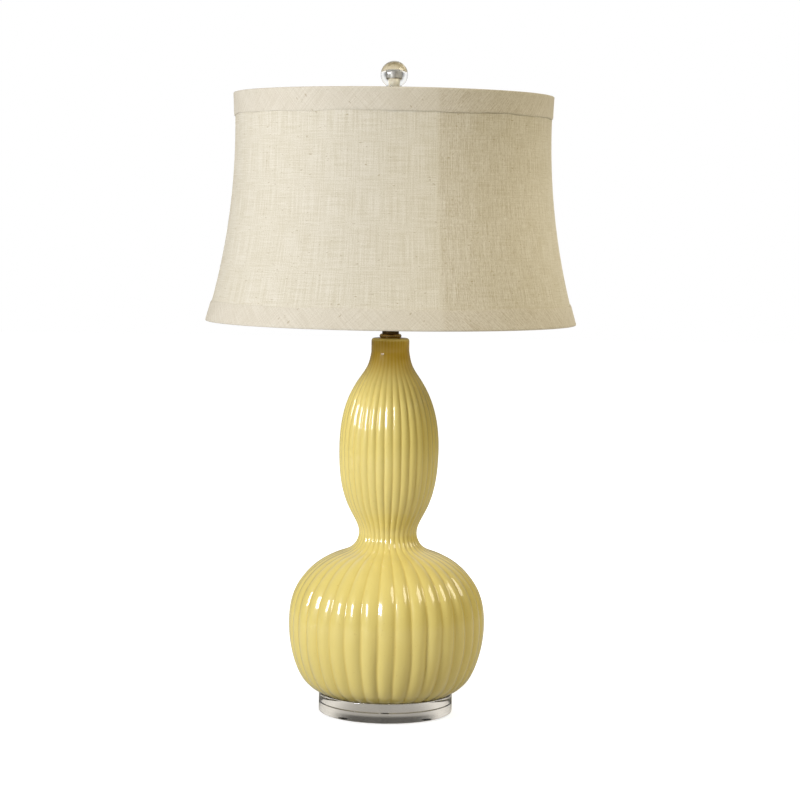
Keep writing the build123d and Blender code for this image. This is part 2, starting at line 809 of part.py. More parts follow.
# Struts of the frame, from ring to ring
with BuildPart() as strut:
    with BuildLine(Plane.XZ) as strut_line:
        bell_arc(
            frame_inset,
            bottom_ring_level + ring_radius + thread_clearance,
            top_ring_level - ring_radius - thread_clearance,
        )
    with BuildSketch(Plane(origin=strut_line.line @ 0, z_dir=strut_line.line % 0)):
        Circle(strut_wire / 2)
    sweep()

with BuildPart() as shade_struts:
    with PolarLocations(0, strut_count, start_angle=180 / strut_count):
        add(strut.part)

# Spider: a hub on the stud's flange, and arms that bend up to the top ring
arm_radius = arm_wire / 2
arm_level = hub_level + hub_thickness / 2
arm_bend = top_ring_radius - arm_bend_inset
arm_slope = atan2(top_ring_level - arm_level, arm_bend_inset)
weld_reach = ring_radius + thread_clearance

with BuildPart() as spider_hub:
    with BuildSketch(Plane.XY.offset(hub_level)):
        Circle(hub_diameter / 2)
        Circle(hub_hole / 2, mode=Mode.SUBTRACT)
    extrude(amount=hub_thickness)

with BuildPart() as spider_arm:
    with BuildLine(Plane.XZ):
        FilletPolyline(
            (hub_diameter / 2 + thread_clearance, arm_level),
            (arm_bend, arm_level),
            (top_ring_radius - weld_reach * cos(arm_slope), top_ring_level - weld_reach * sin(arm_slope)),
            radius=arm_bend_radius,
        )
    with BuildSketch(Plane.YZ.offset(hub_diameter / 2 + thread_clearance)):
        with Locations((0, arm_level)):
            Circle(arm_radius)
    sweep()

with BuildPart() as spider_arms:
    with PolarLocations(0, arm_count, start_angle=arm_start_angle):
        add(spider_arm.part)

# Lining behind the frame, slit at its top edge where the arms pass
trim_back = lining_back + trim_gap + trim_thickness
slit_middle = bell_radius(top_ring_level) - (lining_inset + trim_back) / 2
slit_width = arm_wire + 2 * arm_slot_side
slit_length = trim_back - lining_inset + 2 * arm_slot_side
slit_level = arm_level - arm_radius


def arm_slits():
    """Slits through the cloth behind the top ring, one for each arm."""
    with PolarLocations(slit_middle, arm_count, start_angle=arm_start_angle):
        Rectangle(slit_length, slit_width)


with BuildPart() as shade_lining:
    with BuildSketch(Plane.XZ):
        with BuildLine():
            bell_band(lining_inset, lining_back, cloth_low, cloth_high)
        make_face()
    revolve(axis=Axis.Z)
    with BuildSketch(Plane.XY.offset(slit_level)):
        arm_slits()
    extrude(amount=cloth_high - slit_level, mode=Mode.SUBTRACT)

# Self-trim folded over both edges of the shade
trim_face = -trim_gap - trim_thickness
bottom_trim_bands = [
    (trim_face, -trim_gap, shade_bottom, shade_bottom + bottom_trim_height),
    (trim_face, trim_back, shade_bottom, shade_bottom + trim_thickness),
    (lining_back + trim_gap, trim_back, shade_bottom, shade_bottom + trim_return),
]
top_trim_bands = [
    (trim_face, -trim_gap, shade_top - top_trim_height, shade_top),
    (trim_face, trim_back, shade_top - trim_thickness, shade_top),
    (lining_back + trim_gap, trim_back, shade_top - trim_return, shade_top),
]

with BuildPart() as bottom_trim:
    with BuildSketch(Plane.XZ):
        for band in bottom_trim_bands:
            with BuildLine():
                bell_band(*band)
            make_face()
    revolve(axis=Axis.Z)

with BuildPart() as top_trim:
    with BuildSketch(Plane.XZ):
        for band in top_trim_bands:
            with BuildLine():
                bell_band(*band)
            make_face()
    revolve(axis=Axis.Z)
    with BuildSketch(Plane.XY.offset(slit_level)):
        arm_slits()
    extrude(amount=cloth_high - slit_level, mode=Mode.SUBTRACT)

pieces = {
    "base_bumpers": base_bumpers,
    "acrylic_base": acrylic_base,
    "threaded_rod": threaded_rod,
    "ceramic_body": ceramic_body,
    "cord_bushing": cord_bushing,
    "check_ring": check_ring,
    "neck_washer": neck_washer,
    "neck_nut": neck_nut,
    "neck_sleeve": neck_sleeve,
    "harp_saddle": harp_saddle,
    "harp_wire": harp_wire,
    "harp_stud": harp_stud,
    "ferrule_left": ferrule_left,
    "ferrule_right": ferrule_right,
    "socket_cap": socket_cap,
    "socket_shell": socket_shell,
    "socket_insulator": socket_insulator,
    "socket_core": socket_core,
    "terminal_screws": terminal_screws,
    "lamp_holder": lamp_holder,
    "centre_contact": centre_contact,
    "switch_shaft": switch_shaft,
    "switch_knob": switch_knob,
    "bulb_contact": bulb_contact,
    "bulb_button": bulb_button,
    "bulb_cap": bulb_cap,
    "bulb_globe": bulb_globe,
    "finial_ball": finial_ball,
    "finial_insert": finial_insert,
    "shade_cover": shade_cover,
    "shade_lining": shade_lining,
    "top_trim": top_trim,
    "bottom_trim": bottom_trim,
    "top_ring": top_ring,
    "bottom_ring": bottom_ring,
    "shade_struts": shade_struts,
    "spider_hub": spider_hub,
    "spider_arms": spider_arms,
}
os.makedirs("parts", exist_ok=True)
for name, piece in pieces.items():
    piece.part.label = name
    export_step(piece.part, f"parts/{name}.step")
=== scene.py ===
from math import cos, pi, radians, sin, sqrt, tau

import bpy
import numpy as np
from mathutils import Euler, Matrix, Vector


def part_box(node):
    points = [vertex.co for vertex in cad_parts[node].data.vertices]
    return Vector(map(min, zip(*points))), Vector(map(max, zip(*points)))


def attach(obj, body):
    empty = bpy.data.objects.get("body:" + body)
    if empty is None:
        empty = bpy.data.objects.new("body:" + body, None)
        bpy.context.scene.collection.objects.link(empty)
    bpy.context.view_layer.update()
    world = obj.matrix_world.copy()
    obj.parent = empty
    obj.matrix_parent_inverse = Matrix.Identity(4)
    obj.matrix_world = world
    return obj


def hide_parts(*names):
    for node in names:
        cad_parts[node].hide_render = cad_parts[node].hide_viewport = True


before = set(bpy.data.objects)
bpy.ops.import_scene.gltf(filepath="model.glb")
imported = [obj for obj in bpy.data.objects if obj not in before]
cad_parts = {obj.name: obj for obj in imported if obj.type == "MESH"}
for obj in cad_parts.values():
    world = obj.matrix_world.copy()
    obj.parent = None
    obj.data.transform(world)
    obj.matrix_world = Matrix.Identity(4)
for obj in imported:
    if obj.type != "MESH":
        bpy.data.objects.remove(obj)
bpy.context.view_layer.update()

# Acrylic base: a thick clear disc, cast and polished, with a fine line turned round its rim. The rod
# screws into a blind hole in its top, and the ceramic's foot covers nearly all of that top. Its edges
# are broken by a small polished round.


def grid_piece(name, points):
    """Mesh over a grid of points, rows first. The grid closes on itself both ways."""
    rows, columns = points.shape[:2]
    row, column = np.meshgrid(np.arange(rows), np.arange(columns), indexing="ij")
    next_row = (row + 1) % rows
    next_column = (column + 1) % columns
    corners = [row * columns + column, row * columns + next_column]
    corners += [next_row * columns + next_column, next_row * columns + column]
    mesh = bpy.data.meshes.new(name)
    mesh.from_pydata(points.reshape(-1, 3).tolist(), [], np.stack(corners, -1).reshape(-1, 4).tolist())
    mesh.validate()
    mesh.shade_smooth()
    piece = bpy.data.objects.new(name, mesh)
    bpy.context.scene.collection.objects.link(piece)
    return piece


def turned(name, outline, segments):
    """Solid of revolution about Z from a closed outline of (radius, height) points."""
    outline = np.array(outline)
    angle = np.arange(segments) * tau / segments
    points = np.empty((len(outline), segments, 3))
    points[..., 0] = outline[:, :1] * np.cos(angle)
    points[..., 1] = outline[:, :1] * np.sin(angle)
    points[..., 2] = outline[:, 1:]
    piece = grid_piece(name, points)
    piece.data.set_sharp_from_angle(angle=radians(30))
    return piece


def rounded(corners):
    """Outline with its corners rounded: each corner is (radius, height, size of the round)."""
    steps = 6
    outline = []
    for i, (x, y, size) in enumerate(corners):
        here = np.array((x, y))
        before = np.array(corners[i - 1][:2]) - here
        after = np.array(corners[(i + 1) % len(corners)][:2]) - here
        start = here + before / np.linalg.norm(before) * size
        end = here + after / np.linalg.norm(after) * size
        for step in range(steps + 1 if size else 1):
            share = step / steps
            outline.append((1 - share) ** 2 * start + 2 * share * (1 - share) * here + share**2 * end)
    return outline


class Value:
    """Output of a shader node. Arithmetic on it adds the Math nodes that carry it out."""

    def __init__(self, finish, socket):
        self.finish = finish
        self.socket = socket

    def math(self, operation, *others):
        return self.finish.node("Math", {"operation": operation}, dict(enumerate((self, *others))))

    def __add__(self, other):
        return self.math("ADD", other)

    def __sub__(self, other):
        return self.math("SUBTRACT", other)

    def __mul__(self, other):
        return self.math("MULTIPLY", other)

    def __rsub__(self, other):
        return (self * -1) + other

    __radd__ = __add__
    __rmul__ = __mul__


class Finish:
    """Shading of a material or of the world, with the constants set by name on its one shader."""

    def __init__(self, name, kind=bpy.data.materials, **constants):
        self.material = kind.new(name)
        self.material.use_nodes = True
        self.tree = self.material.node_tree
        self.shader = next(node for node in self.tree.nodes if not node.type.startswith("OUTPUT"))
        names = {key: key.replace("_", " ").title().replace("Ior", "IOR") for key in constants}
        self.set(self.shader, {names[key]: value for key, value in constants.items()})

    def set(self, node, values):
        for key, value in values.items():
            if isinstance(value, Value):
                self.tree.links.new(value.socket, node.inputs[key])
            else:
                node.inputs[key].default_value = value

    def node(self, kind, settings, values, output=0):
        """Adds a node: its type, its settings, then what its sockets hold or are linked to."""
        node = self.tree.nodes.new("ShaderNode" + kind)
        for key, value in settings.items():
            setattr(node, key, value)
        self.set(node, values)
        return Value(self, node.outputs[output])

    def place(self, scale=(1, 1, 1)):
        """Position on the object in metres, stretched by a scale along each axis."""
        position = self.node("TexCoord", {}, {}, "Object")
        return self.node("VectorMath", {"operation": "MULTIPLY"}, {0: position, 1: scale})

    def cloth(self, across, down):
        """Position on a cloth in metres along its weft and warp, times a scale each way."""
        position = self.node("UVMap", {"uv_map": "cloth"}, {})
        return self.node("VectorMath", {"operation": "MULTIPLY"}, {0: position, 1: (across, down, 1)})

    def noise(self, vector, scale, detail=2.0):
        return self.node("TexNoise", {}, {"Vector": vector, "Scale": scale, "Detail": detail})

    def ramp(self, value, low, high, start=0.0, end=1.0):
        values = {"Value": value, "From Min": low, "From Max": high, "To Min": start, "To Max": end}
        return self.node("MapRange", {"interpolation_type": "SMOOTHSTEP"}, values)

    def mix(self, share, one, other):
        """Colour between two others."""
        return self.node("Mix", {"data_type": "RGBA"}, {0: share, 6: one, 7: other}, 2)

    def bump(self, height, depth):
        values = {"Height": height, "Distance": depth, "Strength": 1.0}
        self.set(self.shader, {"Normal": self.node("Bump", {}, values)})

    def wear(self, grain, smooth, rough, colours=(), spread=0.3):
        """Roughness, and colour where two are given, that follow a grain as it strays from its middle."""
        if colours:
            self.set(self.shader, {"Base Color": self.mix(grain, *colours)})
        self.set(self.shader, {"Roughness": self.ramp(grain, 0.5 - spread, 0.5 + spread, smooth, rough)})

    def on(self, *targets):
        """Puts the finish on pieces, or on CAD nodes given by name."""
        for target in targets:
            mesh = (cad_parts[target] if isinstance(target, str) else target).data
            mesh.materials.clear()
            mesh.materials.append(self.material)


def shade_of(red, green, blue):
    """Scene colour of a colour given as it looks on a screen, 0 to 255."""
    levels = [((level / 255 + 0.055) / 1.055) ** 2.4 for level in (red, green, blue)]
    return (*levels, 1.0)


base_low, base_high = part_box("acrylic_base")
base_radius = base_high.x
base_top = base_high.z - 0.0001  # the ceramic rests on it without wetting it
base_top_round = 0.001
base_foot_round = 0.0016
rod_hole_radius = 0.00495
rod_hole_round = 0.0002
rod_hole_floor = base_high.z - 0.011
line_level = base_low.z + 0.0118
line_depth = 0.0006
line_half_width = 0.0007
axis_gap = 0.00002  # an outline that is turned stays this far off the axis
base_outline = [
    (axis_gap, rod_hole_floor, 0),
    (axis_gap, base_low.z, 0),
    (base_radius, base_low.z, base_foot_round),
    (base_radius, line_level - line_half_width, 0),
    (base_radius - line_depth, line_level, 0),
    (base_radius, line_level + line_half_width, 0),
    (base_radius, base_top, base_top_round),
    (rod_hole_radius, base_top, rod_hole_round),
    (rod_hole_radius, rod_hole_floor, rod_hole_round),
]
clear_base = turned("clear_base", rounded(base_outline), 256)


def clear_finish(name, colour):
    """Polished clear acrylic with a few dull handling marks."""
    acrylic = Finish(name, ior=1.49, transmission_weight=1.0, base_color=colour)
    handling = acrylic.noise(acrylic.place(), 60.0, 3.0)
    acrylic.set(acrylic.shader, {"Roughness": acrylic.ramp(handling, 0.55, 0.75, 0.0, 0.025)})
    acrylic.bump(acrylic.noise(acrylic.place(), 25.0), 0.00002)
    return acrylic


# The base's warm grey tint is painted shade, darkening what shows through it.
base_acrylic = clear_finish("base_acrylic", shade_of(230, 224, 213))
base_acrylic.on(clear_base, "acrylic_base")
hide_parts("acrylic_base")
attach(clear_base, "lamp")

# Bumpers: four soft discs of clear silicone with rounded edges, stuck under the base. They keep it from
# sliding on the table, which dulls them a little.

bumper = Finish("bumper", ior=1.45, transmission_weight=0.85, base_color=shade_of(235, 236, 232))
dulled = bumper.noise(bumper.place(), 900.0)
bumper.wear(dulled, 0.25, 0.45, spread=0.2)
bumper.bump(dulled, 0.00004)
bumper.on("base_bumpers")

# Rod, nut and washer: a hollow threaded rod of zinc-plated steel runs from the base up to the socket, and
# a nut on a washer clamps the gourd at its neck. Drawn lines and darker handling marks show on the zinc,
# and the socket's terminal screws have the same finish.

steel = Finish("steel", metallic=1.0)
drawn = steel.noise(steel.place((400, 400, 40)), 4.0, 3.0)
steel.wear(drawn, 0.28, 0.46, (shade_of(120, 120, 122), shade_of(176, 176, 176)))
thread_pitch = 0.00095
thread_turns = steel.node("SeparateXYZ", {}, {0: steel.place()}, "Z") * (tau / thread_pitch)
steel.bump(thread_turns.math("SINE") + drawn * 0.5, 0.00012)
steel.on("threaded_rod", "neck_washer", "neck_nut", "terminal_screws")

# Ceramic gourd: a double gourd thrown hollow, ribbed by hand and glazed yellow. The nut at its neck clamps it
# down on the base. Its 36 ribs have full crests and narrow grooves, and they wander and differ in depth. The
# glaze gathers in the grooves and at the neck, and breaks pale on the lip. Its deeper colour there is also
# painted shade in the grooves and a painted shadow of the lamp shade over the neck.

foot_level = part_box("ceramic_body")[0].z  # the heights below run up from here
foot_radius = 0.0745
belly_radius = 0.1099
neck_radius = 0.0212
neck_level = 0.384
lip_level = 0.398
lip_round = 0.0032
waist_radius = 0.033
bulb_radius = 0.0558
turns = [
    (foot_radius, 0.0),
    (belly_radius, 0.074),
    (waist_radius, 0.177),
    (bulb_radius, 0.264),
    (neck_radius, neck_level),
]
# Marks between one turn and the next, as shares of the way out and of the way up.
swells = [
    [(0.36, 0.11), (0.75, 0.40)],
    [(0.09, 0.40), (0.345, 0.65), (0.69, 0.80), (0.915, 0.88)],
    [(0.42, 0.31)],
    [(0.185, 0.48), (0.60, 0.73), (0.89, 0.865)],
]
marks = [turns[0]]
for start, end, shares in zip(turns, turns[1:], swells):
    for out, up in shares:
        marks.append((start[0] + (end[0] - start[0]) * out, start[1] + (end[1] - start[1]) * up))
    marks.append(end)


def smooth_curve(marks, count):
    """Points on the cubic spline through the marks, evenly spaced by their chords."""
    marks = np.array(marks)
    chords = np.linalg.norm(np.diff(marks, axis=0), axis=1)
    along = np.concatenate([[0], np.cumsum(chords)])
    size = len(marks)
    system = np.eye(size)
    wanted = np.zeros((size, 2))
    for i in range(1, size - 1):
        system[i, i - 1 : i + 2] = chords[i - 1], 2 * (chords[i - 1] + chords[i]), chords[i]
        slope_after = (marks[i + 1] - marks[i]) / chords[i]
        slope_before = (marks[i] - marks[i - 1]) / chords[i - 1]
        wanted[i] = 6 * (slope_after - slope_before)
    bend = np.linalg.solve(system, wanted)
    places = np.linspace(0, along[-1], count)
    stretch = np.clip(np.searchsorted(along, places, side="right") - 1, 0, size - 2)
    span = chords[stretch][:, None]
    before = (places - along[stretch])[:, None]
    after = span - before
    line = (marks[stretch] * after + marks[stretch + 1] * before) / span
    sag = (after**3 / span - after * span) * bend[stretch]
    sag += (before**3 / span - before * span) * bend[stretch + 1]
    return line + sag / 6


# The section through the wall: up the outside, over the lip, down the inside and across the floor.
outer = smooth_curve(marks, 260)
collar_level = 0.388
neck_hole = 0.0075
crown_under = 0.389
lip = [(neck_radius, collar_level)]
for turn in np.linspace(0, pi / 2, 7):
    lip.append((neck_radius - lip_round * (1 - cos(turn)), lip_level - lip_round * (1 - sin(turn))))
edge_break_in = 0.0003
edge_break_down = 0.0005
lip += [(neck_hole + edge_break_in, lip_level), (neck_hole, lip_level - edge_break_down)]
lip += [(neck_hole, crown_under)]
wall = 0.0085
floor_top = 0.009
crown_inside = 0.386
slope = np.gradient(outer, axis=0)
inward = np.stack([-slope[:, 1], slope[:, 0]], -1) / np.linalg.norm(slope, axis=1)[:, None]
inner = (outer + inward * wall)[::-6]
inner = inner[(inner[:, 1] > floor_top) & (inner[:, 1] < crown_inside)]
floor_hole = 0.012
foot_recess = 0.002
rim_inside = 0.0605
floor_ring = [(inner[-1][0], floor_top), (floor_hole, floor_top), (floor_hole, foot_recess)]
floor_ring += [(rim_inside, foot_recess), (rim_inside, 0.0)]
section = np.concatenate([outer, lip, inner, floor_ring])
height = section[:, 1][:, None]

# The ribs: a groove is the crest's own round curve, with its bottom rounded where the glaze fills it.
rib_count = 36
rib_columns = 18
rib_depth = 0.0028
rib_fade = 0.046
groove_round = 0.84
fade = np.clip((neck_level - outer[:, 1]) / rib_fade, 0, 1)
depth = rib_depth * outer[:, 0] / belly_radius * fade
depth = np.concatenate([depth, np.zeros(len(section) - len(depth))])
column = np.arange(rib_count * rib_columns)
angle = column * tau / (rib_count * rib_columns) - pi / 2
across = np.abs(((column + rib_columns / 2) % rib_columns) / rib_columns * 2 - 1)
tail = across - groove_round
pooled = groove_round**2 + 2 * groove_round * tail - groove_round * tail**2 / (1 - groove_round)
groove_bottom = groove_round**2 + groove_round * (1 - groove_round)
groove = np.where(across < groove_round, across**2, pooled) / groove_bottom

# The hand in it: ribs stray sideways by an angle and vary in depth, and the wall is not quite round.
wander = 0.0035 * np.sin(height * 41 + np.sin(angle * 5) * 2.1) + 0.002 * np.sin(height * 97 + angle * 7)
uneven = 1 + 0.16 * np.sin(angle * 11 + height * 30) + 0.10 * np.sin(angle * 17 - height * 55)
wobble = 0.00018 * np.sin(angle * 2 + height * 22) + 0.00012 * np.sin(angle * 3 - height * 61)
wobble_room = 0.0003  # taken off the radius, so that the wobble stays inside the outline
carved = depth[:, None] * groove * np.clip(uneven, 0.75, 1.2)
ribbed = (depth > 0)[:, None]
radius = section[:, :1] - carved + np.where(ribbed, wobble - wobble_room, 0)
turn = angle + np.where(ribbed, wander, 0)
points = np.stack([radius * np.cos(turn), radius * np.sin(turn), np.broadcast_to(height, radius.shape)], -1)
points[..., 2] += foot_level
gourd = grid_piece("glazed_gourd", points)

# Glaze thickness and painted shade, 0 to 1: the glaze gathers in the grooves and over the neck and runs thin
# on the lip, and the same value paints the shade in the grooves and the lamp shade's shadow on the neck.
groove_pool_and_shade = 0.64
neck_pool_and_shadow_start = 0.318
neck_pool_and_shadow_run = 0.06
neck_streak = 0.14
thin_level = lip_level + 0.0005
thin_run = 0.004
thinnest = 0.35
lip_break = np.clip((thin_level - height) / thin_run, thinnest, 1)
neck_pool_and_shadow = np.clip((height - neck_pool_and_shadow_start) / neck_pool_and_shadow_run, 0, 1) * lip_break
streaked = neck_pool_and_shadow * (1 - neck_streak + neck_streak * groove)
pooled_and_shaded = np.maximum(np.where(ribbed, groove * groove_pool_and_shade, 0), streaked)
pool_and_shade_layer = gourd.data.attributes.new("glaze_pool_and_shade", "FLOAT", "POINT")
pool_and_shade_layer.data.foreach_set("value", (pooled_and_shaded * np.ones_like(radius)).astype(np.float32).ravel())

# The cord's hole, low in the back, slants down and out along the bushing.
hole_radius = 0.0052
hole_reach = 0.02
hole_core = 0.0001
hole_outline = [(hole_core, -hole_reach), (hole_radius, -hole_reach)]
hole_outline += [(hole_radius, hole_reach), (hole_core, hole_reach)]
cord_hole = turned("cord_hole", hole_outline, 64)
bushing_low, bushing_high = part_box("cord_bushing")
cord_way = Vector((0, 0.9015, -0.4327))
cord_hole.rotation_euler = cord_way.to_track_quat("Z", "Y").to_euler()
cord_hole.location = (bushing_low + bushing_high) / 2
bpy.context.view_layer.update()
drill = gourd.modifiers.new("cord_hole", "BOOLEAN")
drill.operation = "DIFFERENCE"
drill.object = cord_hole
bored = bpy.data.meshes.new_from_object(gourd.evaluated_get(bpy.context.evaluated_depsgraph_get()))
gourd.modifiers.clear()
gourd.data = bored
bpy.data.objects.remove(cord_hole)
gourd.data.set_sharp_from_angle(angle=radians(50))

glaze = Finish("glaze", coat_roughness=0.03, coat_ior=1.5, specular_ior_level=0.3)
glaze_pool_and_shade = glaze.node("Attribute", {"attribute_name": "glaze_pool_and_shade"}, {}, "Fac")
cloud = glaze.noise(glaze.place(), 18.0, 3.0)
speck = glaze.noise(glaze.place(), 420.0)
thin_glaze = glaze.mix(cloud, shade_of(232, 215, 132), shade_of(228, 207, 116))
# Deeper glaze where it gathers, which also serves as painted shade in the grooves and painted shadow on the
# neck.
thick_glaze_and_shade = shade_of(194, 154, 10)
coat_colour = glaze.mix(glaze.ramp(glaze_pool_and_shade, 0.44, 1.0, 0.0, 0.9), thin_glaze, thick_glaze_and_shade)
speckled = glaze.mix(glaze.ramp(speck, 0.68, 0.78, 0.0, 0.35), coat_colour, shade_of(180, 146, 60))
glaze.set(glaze.shader, {"Base Color": speckled})
glaze.wear(cloud, 0.3, 0.4, spread=0.2)
glaze.set(glaze.shader, {"Coat Weight": glaze.ramp(speck, 0.8, 0.6, 0.75, 1.0)})
glaze.bump(cloud * 0.8 + glaze.noise(glaze.place(), 90.0) * 0.25, 0.0007)
glaze.on(gourd, "ceramic_body")
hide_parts("ceramic_body")
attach(gourd, "lamp")

# Cord bushing: a grommet moulded in black nylon, with a flange outside. It is pressed into the hole low
# in the back of the gourd and keeps a cord off the edge of the ceramic.

bushing = Finish("bushing", base_color=shade_of(30, 29, 28))
moulded = bushing.noise(bushing.place(), 1500.0)
bushing.wear(moulded, 0.38, 0.55, spread=0.2)
bushing.bump(moulded, 0.00004)
bushing.on("cord_bushing")

# Brass at the neck and the harp: the check ring that caps the gourd, and above it the harp in its saddle
# with two ferrules and a stud. They are turned or bent from brass, toned to an antique finish and lacquered.
# The sleeve on the check ring is painted near black-brown: painted shade for the shadow inside the lamp
# shade.

antique_brass = Finish("antique_brass", metallic=1.0)
patina = antique_brass.noise(antique_brass.place(), 120.0, 3.0)
toned = antique_brass.ramp(patina, 0.35, 0.65)
brass_colour = antique_brass.mix(toned, shade_of(150, 128, 84), shade_of(178, 154, 104))
antique_brass.set(antique_brass.shader, {"Base Color": brass_colour})
antique_brass.wear(patina, 0.2, 0.3, spread=0.2)
antique_brass.bump(antique_brass.noise(antique_brass.place(), 700.0), 0.00002)
antique_brass.on("check_ring", "harp_saddle", "harp_wire", "harp_stud", "ferrule_left", "ferrule_right")

# Painted shade: the sleeve's dark colour stands for the shadow under the lamp shade.
dark_sleeve_finish = Finish("sleeve_painted_shade", metallic=1.0)
sleeve_mottle = dark_sleeve_finish.noise(dark_sleeve_finish.place(), 120.0, 3.0)
dark_sleeve_finish.wear(sleeve_mottle, 0.3, 0.4, (shade_of(74, 58, 38), shade_of(104, 84, 54)), 0.2)
dark_sleeve_finish.bump(dark_sleeve_finish.noise(dark_sleeve_finish.place((6, 6, 2500)), 1.0), 0.00001)
dark_sleeve_finish.on("neck_sleeve")

# Socket: a shell and cap spun from brass and snapped together, lined with a paper sleeve. Inside sit the
# moulded phenolic core, the threaded holder and the brass centre contact.

socket_brass = Finish("socket_brass", metallic=1.0)
spun = socket_brass.noise(socket_brass.place((40, 40, 2500)), 1.0)
socket_brass.wear(spun, 0.2, 0.34, (shade_of(190, 152, 84), shade_of(216, 182, 112)))
socket_brass.bump(spun, 0.00003)
socket_brass.on("socket_cap", "socket_shell", "centre_contact")

paper = Finish("paper_sleeve")
fibre = paper.noise(paper.place((1, 1, 3)), 700.0, 4.0)
paper.wear(fibre, 0.8, 0.95, (shade_of(140, 120, 92), shade_of(168, 148, 116)))
paper.bump(fibre, 0.0001)
paper.on("socket_insulator")

phenolic = Finish("phenolic", base_color=shade_of(24, 22, 21))
mould = phenolic.noise(phenolic.place(), 1100.0, 3.0)
phenolic.wear(mould, 0.3, 0.5, spread=0.2)
phenolic.bump(mould, 0.00003)
phenolic.on("socket_core")

# Switch: a thin steel shaft that comes out through the socket's shell, with a fluted knob moulded in
# black plastic pushed onto its end and polished by fingers.

knob = Finish("knob", base_color=shade_of(26, 24, 23))
worn = knob.noise(knob.place(), 800.0, 3.0)
knob.wear(worn, 0.25, 0.45, spread=0.2)
knob.bump(worn, 0.00003)
knob.on("switch_knob")
steel.on("switch_shaft")

# Light bulb: a globe of frosted glass, cemented into a rolled aluminium screw cap that ends in a black
# glass button and a solder tip. The holder that it screws into is rolled from the same metal.

bulb_metal = Finish("bulb_metal", metallic=1.0)
rolled = bulb_metal.noise(bulb_metal.place((40, 40, 900)), 1.0, 3.0)
bulb_metal.wear(rolled, 0.24, 0.4, (shade_of(176, 176, 174), shade_of(206, 206, 204)))
bulb_metal.bump(rolled, 0.00003)
bulb_metal.on("bulb_cap", "bulb_contact", "lamp_holder")
phenolic.on("bulb_button")

bulb_glass = Finish("bulb_glass", base_color=shade_of(240, 240, 236), coat_weight=0.4, coat_roughness=0.12)
frost = bulb_glass.noise(bulb_glass.place(), 2500.0)
bulb_glass.wear(frost, 0.4, 0.55, spread=0.2)
bulb_glass.bump(frost, 0.00003)
bulb_glass.on("bulb_globe")

# Finial: a clear ball on a flared foot, cast in acrylic round a threaded metal insert that shows through
# it. It screws down onto the harp's stud and holds the shade. The casting wets the insert, so the clear
# piece is one solid with the insert inside it.

finial_low, finial_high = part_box("finial_ball")
ball_radius = 0.015
pole_gap = 0.002  # angle left open at the top of the ball
ball_level = finial_high.z - ball_radius
stem_radius = 0.0083
stem_level = finial_low.z + 0.015
flare_radius = finial_high.x * 0.7
flare_level = finial_low.z + 0.002
under_level = finial_low.z + 0.0001
under_radius = 0.0103
under_gap = 0.00005
flare = []
for share in np.linspace(0, 1, 20):
    out = (1 - share) ** 2 * flare_radius + (1 - (1 - share) ** 2) * stem_radius
    flare.append((out, (1 - share**2) * flare_level + share**2 * stem_level))
dome = []
for turn in np.linspace(-np.arccos(stem_radius / ball_radius), pi / 2 - pole_gap, 64):
    dome.append((ball_radius * cos(turn), ball_level + ball_radius * sin(turn)))
crystal_outline = [(under_gap, under_level), (under_radius, under_level), *flare, *dome]
crystal = turned("crystal_finial", crystal_outline, 192)
clear_finish("finial_acrylic", shade_of(252, 253, 252)).on(crystal, "finial_ball")
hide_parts("finial_ball")
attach(crystal, "finial")

insert_low, insert_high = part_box("finial_insert")
head_low = insert_high.z - 0.0064
head_radius = 0.0061
head_round = 0.0005
shank_radius = 0.0045
shank_bore = 0.0032
head_outline = [(axis_gap, insert_high.z, 0), (axis_gap, head_low, 0)]
head_outline += [(head_radius, head_low, head_round), (head_radius, insert_high.z, head_round)]
shank_outline = [(shank_bore, insert_low.z, 0), (shank_radius, insert_low.z, 0)]
shank_outline += [(shank_radius, head_low, 0), (shank_bore, head_low, 0)]
insert_head = turned("insert_head", rounded(head_outline), 96)
insert_shank = turned("insert_shank", rounded(shank_outline), 96)
nickel = Finish("nickel", metallic=1.0)
turning = nickel.noise(nickel.place((3, 3, 2000)), 1.0)
nickel.wear(turning, 0.5, 0.6, (shade_of(166, 164, 158), shade_of(186, 184, 178)))
nickel.bump(turning, 0.00001)
nickel.on(insert_head, "finial_insert")
# The shank's pale beige is a painted reflection of the linen shade on its brass.
shank_painted_reflection = Finish("shank_painted_reflection", metallic=0.2)
cut = shank_painted_reflection.noise(shank_painted_reflection.place((3, 3, 2000)), 1.0)
shank_painted_reflection.wear(cut, 0.35, 0.5, (shade_of(222, 212, 184), shade_of(234, 226, 204)))
shank_painted_reflection.bump(cut, 0.00001)
shank_painted_reflection.on(insert_shank)
for piece in (insert_head, insert_shank):
    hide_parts("finial_insert")
    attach(piece, "finial")

# Shade cover: natural linen stretched over the wire frame as one bell and sewn to its rings, lapped in a
# seam that runs down a little to the right of the front. The cloth right of the seam is painted darker, a
# painted shade that fades away from the seam. The yarn has slubs both ways, darker flax and a few knots.

shade_low, shade_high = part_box("shade_cover")
mouth_radius = 0.2052
throat_radius = 0.1748
throat_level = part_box("top_trim")[1].z - 0.042
mouth_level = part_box("bottom_trim")[0].z
flare_out = mouth_radius - throat_radius
bell_curve = ((throat_level - mouth_level) ** 2 + flare_out**2) / (2 * flare_out)


def bell(level):
    """Radius of the cover's face at a height."""
    return throat_radius + bell_curve - np.sqrt(bell_curve**2 - (level - throat_level) ** 2)


